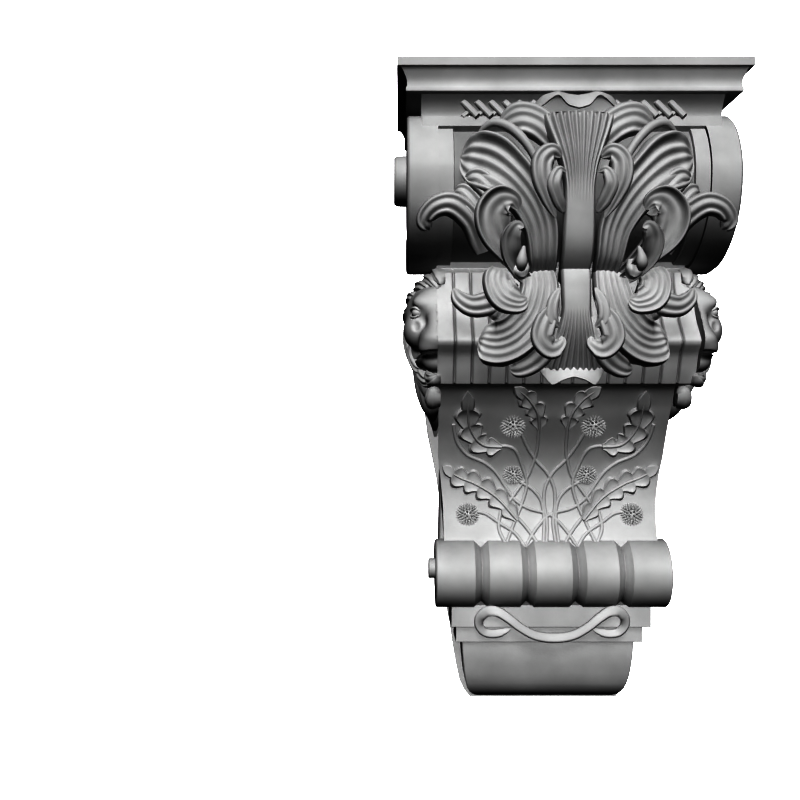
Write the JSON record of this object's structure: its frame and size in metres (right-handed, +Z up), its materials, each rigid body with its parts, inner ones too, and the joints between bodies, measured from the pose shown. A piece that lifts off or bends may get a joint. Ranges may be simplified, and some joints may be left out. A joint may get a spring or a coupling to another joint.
{
  "type": "carved bracket",
  "caption": "Carved scroll corbel with moulded cap, reeded volutes, acanthus leaves, lion heads on its sides and thistle relief on its curved face, made to fix to a wall.",
  "frame": {"origin": "middle of the flat back face that lies against the wall, 303 mm above the foot and 303 mm below the cap's top", "axes": "+Z up, +Y into the wall, so the bracket projects towards -Y, +X to the right seen from the front"},
  "size_m": [0.312, 0.2428, 0.606],
  "materials": {
    "stone": "fine-grained grey carving stone, honed"
  },
  "bodies": {
    "root": {"back_board": "stone", "cap_moulding": "stone", "console": "stone", "upper_acanthus_leaf": "stone", "lower_acanthus_leaf": "stone", "lion_head_right": "stone", "lion_head_left": "stone", "ribbon_bow": "stone"}
  },
  "joints": []
}
